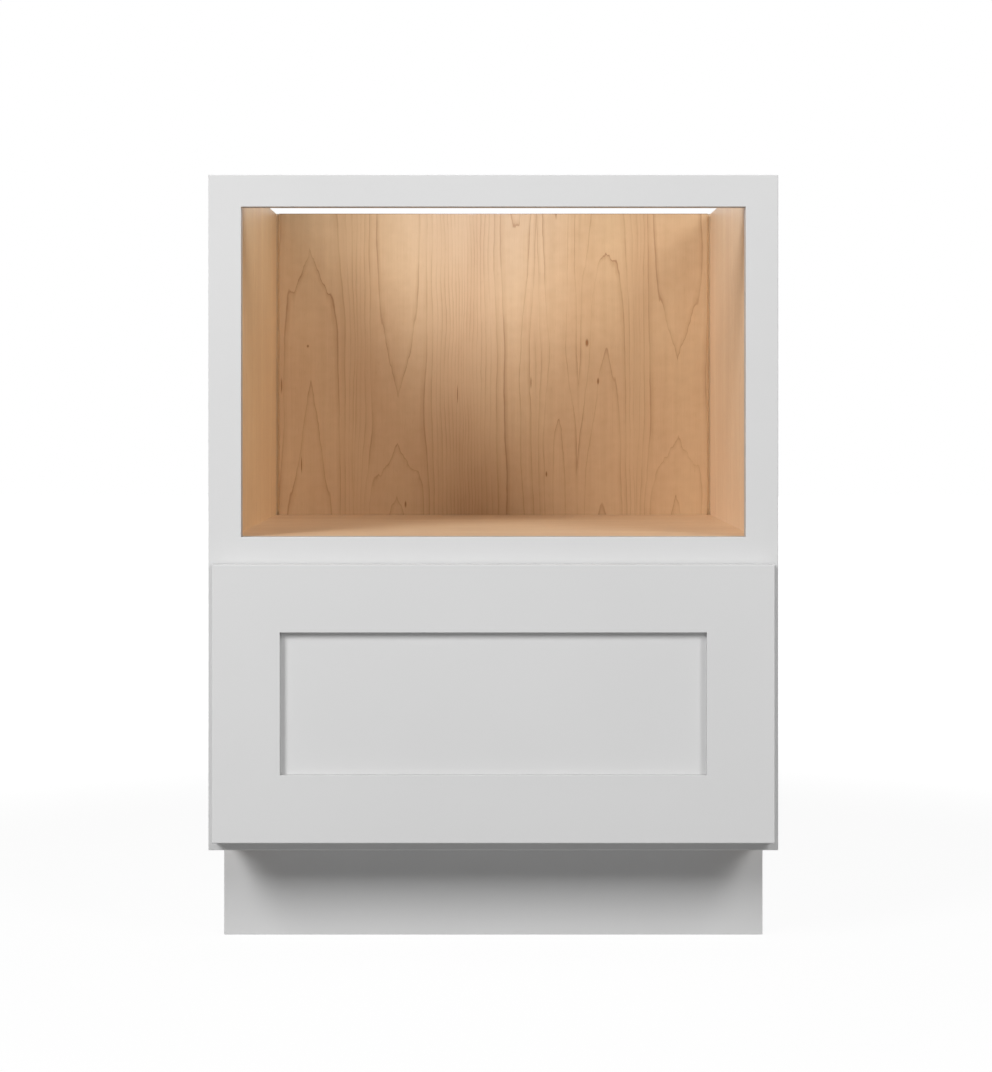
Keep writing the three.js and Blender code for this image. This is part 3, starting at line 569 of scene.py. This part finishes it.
slotFinish = {
    "paint": paint, "plywood": hangFinish, "maple_board": crossFinish, "zinc_steel": steel,
    "grey_plastic": greyPlastic, "lever_plastic": leverPlastic, "clear_rubber": rubber,
}
for hand in hands:
    finishes[f"{hand}_corner_block"] = blockFinish
    finishes[f"drawer_box_{hand}_side"] = lengthFinish
    finishes[f"{hand}_runner_spacer"] = lengthFinish
finishes["drawer_box_bottom"] = bottomFinish
for name, node in nodes.items():
    finish = finishes.get(name) or slotFinish[slotOf[name]]
    node.material_slots[0].material = finish
print("materials made")


def easedCopy(name, width, weigh, steps=3):
    # weigh(middle, direction) gives an edge's share of the round, 0 for none
    mesh = nodes[name].data.copy()
    piece = bpy.data.objects.new(name + "_eased", mesh)
    scene.collection.objects.link(piece)
    shape = bmesh.new()
    shape.from_mesh(mesh)
    bmesh.ops.remove_doubles(shape, verts=shape.verts, dist=1e-6)
    bmesh.ops.dissolve_limit(shape, angle_limit=math.radians(1), verts=shape.verts, edges=shape.edges)
    layer = shape.edges.layers.float.new("bevel_weight_edge")
    for edge in shape.edges:
        if len(edge.link_faces) == 2 and edge.is_convex and edge.calc_face_angle() > math.radians(25):
            ends = [corner.co for corner in edge.verts]
            edge[layer] = weigh((ends[0] + ends[1]) / 2, (ends[1] - ends[0]).normalized())
    shape.to_mesh(mesh)
    shape.free()
    bevel = piece.modifiers.new("round", "BEVEL")
    bevel.limit_method = "WEIGHT"
    bevel.width = width
    bevel.segments = steps
    piece.material_slots[0].material = finishes.get(name) or slotFinish[slotOf[name]]
    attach(piece, bodyOf[name])
    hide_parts(name)
    return piece


easing = {
    "frame": 0.0008,
    "front": 0.0011,
    "toe": 0.0005,
    "back": 0.0015,
    "panel": 0.0004,
    "boxTop": 0.0024,
}
near = 0.0006  # an edge this close to a plane lies on it
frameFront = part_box("top_rail")[0].y
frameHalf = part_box("right_stile")[1].x


def onFront(middle, plane):
    return abs(middle.y - plane) < near


def weighRail(middle, direction):
    return 1.0 if onFront(middle, frameFront) and abs(direction.x) > 0.9 else 0.0


def weighStile(middle, direction):
    # its ends as on a rail, and its long outer edge; the inner one stays crisp
    outer = abs(direction.z) > 0.9 and abs(abs(middle.x) - frameHalf) < near
    return 1.0 if outer and onFront(middle, frameFront) else weighRail(middle, direction)


for name in ("left_stile", "right_stile"):
    easedCopy(name, easing["frame"], weighStile)
for name in ("top_rail", "middle_rail", "bottom_rail"):
    easedCopy(name, easing["frame"], weighRail)

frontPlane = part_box("drawer_front_left_stile")[0].y
frontMembers = ["left_stile", "right_stile", "top_rail", "bottom_rail"]
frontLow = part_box("drawer_front_left_stile")[0]
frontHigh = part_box("drawer_front_right_stile")[1]


def weighFront(middle, direction):
    if not onFront(middle, frontPlane):
        return 0.0
    outerX = min(abs(middle.x - frontLow.x), abs(middle.x - frontHigh.x)) < near
    outerZ = min(abs(middle.z - frontLow.z), abs(middle.z - frontHigh.z)) < near
    if outerX or outerZ:
        return 1.0
    return 0.45 if abs(direction.x) > 0.9 else 0.0


for name in frontMembers:
    easedCopy("drawer_front_" + name, easing["front"], weighFront)
easedCopy("toe_kick_board", easing["toe"], lambda middle, direction: 1.0)
print("painted pieces eased")

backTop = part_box("back_panel")[1].z
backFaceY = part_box("back_panel")[0].y


def weighBack(middle, direction):
    # the sanded top edge, and a fine arris along the shadow gaps
    if abs(direction.x) > 0.9 and abs(middle.z - backTop) < near and onFront(middle, backFaceY):
        return 1.0
    return 0.25 if abs(direction.z) > 0.9 and onFront(middle, backFaceY) else 0.0


def weighShelf(middle, direction):
    return 1.0 if abs(direction.x) > 0.9 else 0.0


easedCopy("back_panel", easing["back"], weighBack)
easedCopy("microwave_shelf", easing["panel"], weighShelf)
easedCopy("bottom_panel", easing["panel"], weighShelf)
for name in ("left_side_panel", "right_side_panel"):
    easedCopy(name, easing["panel"], lambda middle, direction: 1.0 if abs(direction.x) < 0.1 else 0.0, 2)
print("carcass eased")

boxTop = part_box("drawer_box_front")[1].z


def weighBoxBoard(middle, direction):
    # the board's upper edges in full, everything else broken a little
    level = abs(direction.z) < 0.1
    return 1.0 if level and abs(middle.z - boxTop) < near else 0.12


for name in ("front", "back", "left_side", "right_side"):
    easedCopy("drawer_box_" + name, easing["boxTop"], weighBoxBoard)
fittingRounds = {
    "soft_close_unit": 0.0012,
    "rear_bracket": 0.0010,
    "locking_device": 0.0006,
    "release_lever": 0.0008,
    "corner_block": 0.0006,
    "runner_spacer": 0.0006,
}
for hand in hands:
    for part, width in fittingRounds.items():
        easedCopy(f"{hand}_{part}", width, lambda middle, direction: 1.0, 2)
for name in ("top_hang_rail", "middle_hang_rail", "bottom_hang_rail", "toe_kick_rail"):
    easedCopy(name, easing["panel"], lambda middle, direction: 1.0, 2)


def smoothCopy(name, angle):
    # the same shape with its rounded stretches shaded smooth, and every edge past the angle kept sharp
    piece = easedCopy(name, 0.0001, lambda middle, direction: 0.0)
    piece.modifiers.clear()
    mesh = piece.data
    mesh.polygons.foreach_set("use_smooth", np.ones(len(mesh.polygons), bool))
    mesh.set_sharp_from_angle(angle=math.radians(angle))


for hand in hands:
    for part in ("runner_cabinet_member", "runner_middle_member", "runner_drawer_member",
                 "lower_roller_cage", "upper_roller_cage"):
        smoothCopy(f"{hand}_{part}", 40)
print("box, fittings and runners eased")

turnedLook = {
    "sides": 48,
    "crossReach": 0.0021,  # half length of a cross recess
    "crossHalf": 0.00042,  # half width of its arms
    "crossDepth": 0.0013,
}


def turned(name, places, profile, crossed, body, finish, replaced=None):
    # A turned shape at each place, facing the given way. Its rings have radius r and height h from the
    # profile; a cross recess has r = min(reach / max(|cos|, |sin|), half / min(|cos|, |sin|)).
    look = turnedLook
    angles = (np.arange(look["sides"]) + 0.5) * 2 * np.pi / look["sides"]
    cos, sin = np.cos(angles), np.sin(angles)
    large, small = np.maximum(abs(cos), abs(sin)), np.minimum(abs(cos), abs(sin))
    arms = np.minimum(look["crossReach"] / large, look["crossHalf"] / small)
    rings = [(np.full(look["sides"], radius), height) for radius, height in profile]
    top = profile[-1][1]
    if crossed:
        rings += [(arms, top), (arms * 0.8, top - look["crossDepth"])]
    local = np.concatenate([
        np.stack([radius * cos, radius * sin, np.full(look["sides"], height)], 1) for radius, height in rings
    ])
    start = np.arange(len(rings) - 1)[:, None] * look["sides"]
    here = np.arange(look["sides"])[None, :]
    after = (here + 1) % look["sides"]
    quads = np.stack([start + here, start + after, start + after + look["sides"],
                      start + here + look["sides"]], 2).reshape(-1, 4)
    points, faces = [], []
    for place, facing in places:
        out = np.array(facing, float)
        along = np.array([0.0, 0.0, 1.0]) if abs(out[2]) < 0.5 else np.array([0.0, 1.0, 0.0])
        turn = np.stack([along, np.cross(out, along), out])
        shift = len(points) * len(local)
        points.append(local @ turn + np.array(place, float))
        faces += (quads + shift).tolist()
        faces.append((np.arange(look["sides"])[::-1] + shift).tolist())
        faces.append((np.arange(look["sides"]) + shift + len(local) - look["sides"]).tolist())
    mesh = bpy.data.meshes.new(name)
    mesh.from_pydata(np.concatenate(points).tolist(), [], faces)
    mesh.polygons.foreach_set("use_smooth", np.ones(len(mesh.polygons), bool))
    mesh.set_sharp_from_angle(angle=math.radians(28))
    mesh.materials.append(finish)
    piece = bpy.data.objects.new(name, mesh)
    scene.collection.objects.link(piece)
    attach(piece, body)
    if replaced:
        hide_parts(replaced)


screwLook = {
    "count": 5,  # screws along one runner
    "endGap": 0.035,  # from the member's ends to its outer screws
    "drop": 0.009,  # below the flange's upper edge
    "flange": 0.0015,  # thickness of the sheet that they hold
    "bracketDrops": (0.008, 0.021),
    "bracketSeat": 0.004,  # thickness of the bracket's plate
}
panHead = [(0.0034, 0.0), (0.0037, 0.0003), (0.0037, 0.0007), (0.0033, 0.0012), (0.0026, 0.0015)]
for hand, side in hands.items():
    low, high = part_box(f"{hand}_runner_cabinet_member")
    faceX = side * (abs(low.x if side < 0 else high.x) - screwLook["flange"])
    level = high.z - screwLook["drop"]
    rows = np.linspace(low.y + screwLook["endGap"], high.y - screwLook["endGap"], screwLook["count"])
    places = [((faceX, y, level), (-side, 0, 0)) for y in rows]
    turned(f"{hand}_runner_screws", places, panHead, True, bodyOf["left_stile"], steel)
    low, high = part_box(f"{hand}_rear_bracket")
    middleX, seatY = (low.x + high.x) / 2, high.y - screwLook["bracketSeat"]
    places = [((middleX, seatY, high.z - drop), (0, -1, 0)) for drop in screwLook["bracketDrops"]]
    turned(f"{hand}_bracket_screws", places, panHead, True, bodyOf["left_stile"], steel)

washerTall = 0.0030  # a front screw's head, from the wood to its top
for name in [name for name in nodes if name.startswith("drawer_front_screw")]:
    low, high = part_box(name)
    seat = high.y - washerTall
    shank = low.y - seat
    washerHead = [
        (0.0008, shank), (0.0020, shank + 0.004), (0.0020, 0.0), (0.0060, 0.0), (0.0060, 0.0007),
        (0.0056, 0.0010), (0.0042, 0.0012), (0.0039, 0.0022), (0.0032, 0.0029), (0.0025, washerTall),
    ]
    place = ((low.x + high.x) / 2, seat, (low.z + high.z) / 2)
    turned(name + "_turned", [(place, (0, 1, 0))], washerHead, True, bodyOf[name], steel, name)
for name in [name for name in nodes if name.endswith("bumper")]:
    low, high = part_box(name)
    tall, wide = high.y - low.y, (high.x - low.x) / 2
    dome = [(wide * math.cos(a), tall * (0.45 + 0.55 * math.sin(a))) for a in np.linspace(0, 1.35, 8)]
    place = ((low.x + high.x) / 2, low.y, (low.z + high.z) / 2)
    turned(name + "_turned", [(place, (0, 1, 0))], [(wide, 0.0)] + dome, False,
           bodyOf[name], rubber, name)
print("screws and bumpers turned")

light = {
    "keyPlace": (-2.6, -3.694, 2.85),
    "fillPlace": (2.6, -3.694, 2.85),
    "aim": (0.0, -0.29, 0.55),
    "keyPower": 173.0,
    "fillPower": 97.0,
    "wide": 1.5,
    "tall": 2.0,
    "ceilingPlace": (0.0, -0.3, 3.4),
    "ceilingPower": 4.0,
    "ceilingSize": 3.0,
    "poolPlace": (-0.02, -0.1, 1.36),  # a small cool spot over the open top
    "poolAim": (-0.02, 0.27, 0.92),
    "poolPower": 11.5,
    "poolColour": (0.36, 0.58, 1.0),
    "poolAngle": 28.0,
    "edgePlace": (-0.10, -0.15, 1.35),  # two weak ones for the tops of the niche's sides, one a hand
    "edgeAim": (0.294, 0.05, 0.80),
    "edgePower": 2.6,
    "edgeColour": (0.85, 0.92, 1.0),
    "edgeAngle": 34.0,
    "cardLow": (-0.78, -0.05, 0.88),  # a black card that keeps the key light off the niche's upper left
    "cardHigh": (-0.40, -0.05, 1.12),
    "sky": 0.06,  # the room's own soft light
    "floorTone": 0.42,  # of the light that the floor sends back up
    "floorKeeps": 0.16,  # share of the floor's real shading that the camera sees near the cabinet
    "floorNear": 0.8,  # metres from the middle at which this share begins to fade
    "floorFar": 2.0,  # and at which none is left
    "floorGlow": 1.12,  # the plain white that the camera sees in place of the rest
    "floorHalf": 14.0,
    "floorDrop": 0.0005,  # keeps the floor just under the cabinet
}


def softBox(name, place, power, wide, tall):
    lamp = bpy.data.lights.new(name, "AREA")
    lamp.shape = "RECTANGLE"
    lamp.size, lamp.size_y = wide, tall
    lamp.energy = power
    holder = bpy.data.objects.new(name, lamp)
    holder.location = place
    holder.rotation_euler = (Vector(light["aim"]) - Vector(place)).to_track_quat("-Z", "Y").to_euler()
    scene.collection.objects.link(holder)


softBox("keyLight", light["keyPlace"], light["keyPower"], light["wide"], light["tall"])
softBox("fillLight", light["fillPlace"], light["fillPower"], light["wide"], light["tall"])
wide = light["ceilingSize"]
softBox("ceilingLight", light["ceilingPlace"], light["ceilingPower"], wide, wide)


def spot(name, key, side=1):
    lamp = bpy.data.lights.new(name, "SPOT")
    lamp.energy = light[key + "Power"]
    lamp.color = light[key + "Colour"]
    lamp.spot_size = math.radians(light[key + "Angle"])
    lamp.spot_blend = 1.0
    lamp.shadow_soft_size = 0.04
    place, aim = (Vector(light[key + end]) * Vector((side, 1, 1)) for end in ("Place", "Aim"))
    holder = bpy.data.objects.new(name, lamp)
    holder.location = place
    holder.rotation_euler = (aim - place).to_track_quat("-Z", "Y").to_euler()
    scene.collection.objects.link(holder)


spot("poolLight", "pool")
for hand, side in hands.items():
    spot(hand + "EdgeLight", "edge", side)

world = bpy.data.worlds.new("room")
world.use_nodes = True
scene.world = world


def seenDirectly(tree):
    # 1 for rays from the camera, from a mirror or through glass
    path = tree.nodes.new("ShaderNodeLightPath")
    total = path.outputs["Is Camera Ray"]
    for output in ("Is Glossy Ray", "Is Transmission Ray"):
        both = tree.nodes.new("ShaderNodeMath")
        both.operation = "MAXIMUM"
        tree.links.new(total, both.inputs[0])
        tree.links.new(path.outputs[output], both.inputs[1])
        total = both.outputs[0]
    return total


worldTree = world.node_tree
background = worldTree.nodes["Background"]
background.inputs["Color"].default_value = (1, 1, 1, 1)
strength = worldTree.nodes.new("ShaderNodeMapRange")
strength.inputs["To Min"].default_value = light["sky"]
strength.inputs["To Max"].default_value = 1.0
worldTree.links.new(seenDirectly(worldTree), strength.inputs["Value"])
worldTree.links.new(strength.outputs[0], background.inputs["Strength"])

cardMesh = bpy.data.meshes.new("card")
(x0, y0, z0), (x1, y1, z1) = light["cardLow"], light["cardHigh"]
cardMesh.from_pydata([(x0, y0, z0), (x1, y0, z0), (x1, y1, z1), (x0, y1, z1)], [], [(0, 1, 2, 3)])
card = bpy.data.objects.new("card", cardMesh)
scene.collection.objects.link(card)
cardFinish = Finish("card")
cardSeen = Signal(cardFinish, seenDirectly(cardFinish.tree))
black = cardFinish.signal(cardFinish.node("BsdfDiffuse", inputs={"Color": (0.02, 0.02, 0.02, 1)}))
white = cardFinish.signal(cardFinish.node("Emission", inputs={"Color": (1, 1, 1, 1), "Strength": 1.0}))
cardShader = cardFinish.signal(cardFinish.node("MixShader", inputs={0: cardSeen, 1: black, 2: white}))
cardFinish.node("OutputMaterial", inputs={"Surface": cardShader})
cardMesh.materials.append(cardFinish.material)

floorMesh = bpy.data.meshes.new("floor")
corners = np.array([[-1, -1, 0], [1, -1, 0], [1, 1, 0], [-1, 1, 0]], float) * light["floorHalf"]
floorMesh.from_pydata(corners.tolist(), [], [(0, 1, 2, 3)])
floor = bpy.data.objects.new("floor", floorMesh)
floor.location.z = -light["floorDrop"]
scene.collection.objects.link(floor)
floorFinish = Finish("floor")
seen = Signal(floorFinish, seenDirectly(floorFinish.tree))
tone = light["floorTone"]
lit = floorFinish.signal(floorFinish.node("BsdfDiffuse", inputs={"Color": (tone, tone, tone, 1)}))
glow = {"Color": (1, 1, 1, 1), "Strength": light["floorGlow"]}
plain = floorFinish.signal(floorFinish.node("Emission", inputs=glow))
away = floorFinish.math("SQRT", floorFinish.x ** 2.0 + floorFinish.y ** 2.0)
faded = floorFinish.smooth(away, light["floorNear"], light["floorFar"])
factor = seen * (1 - (1 - faded) * light["floorKeeps"])
mixed = floorFinish.signal(floorFinish.node("MixShader", inputs={0: factor, 1: lit, 2: plain}))
floorFinish.node("OutputMaterial", inputs={"Surface": mixed})
floorMesh.materials.append(floorFinish.material)
print("floor and lights set")
